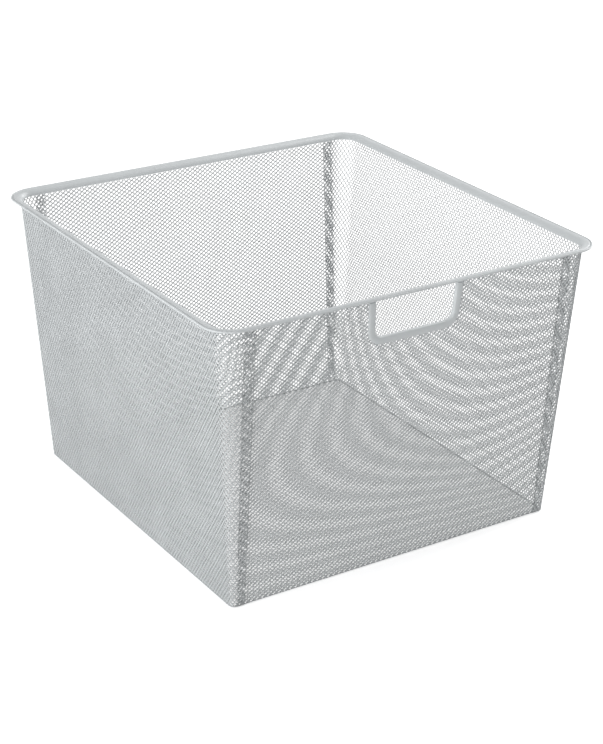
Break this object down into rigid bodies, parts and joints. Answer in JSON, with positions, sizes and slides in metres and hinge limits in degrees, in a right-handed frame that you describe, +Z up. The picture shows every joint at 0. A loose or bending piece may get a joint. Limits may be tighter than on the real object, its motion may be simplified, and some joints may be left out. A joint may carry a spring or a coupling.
{
  "type": "expanded steel locker basket",
  "caption": "Open-topped square basket of expanded steel sheet with sloping walls, rounded corners, a rolled rim strip and a U-shaped hand notch surround.",
  "frame": {"origin": "centre of the underside of the floor", "axes": "+X to the right along the notched front wall, +Y from the front wall to the back wall, +Z up"},
  "size_m": [0.4194, 0.426, 0.285],
  "materials": {
    "strip_coat": "satin",
    "sheet_coat": "satin"
  },
  "bodies": {
    "root": {"rim": "strip_coat", "handle_trim": "strip_coat", "mesh_floor": "sheet_coat", "mesh_back": "sheet_coat", "mesh_left": "sheet_coat", "mesh_right": "sheet_coat", "mesh_front_left": "sheet_coat", "mesh_front_centre": "sheet_coat", "mesh_front_right": "sheet_coat", "corner_front_left": "sheet_coat", "corner_front_right": "sheet_coat", "corner_back_left": "sheet_coat", "corner_back_right": "sheet_coat"}
  },
  "joints": []
}
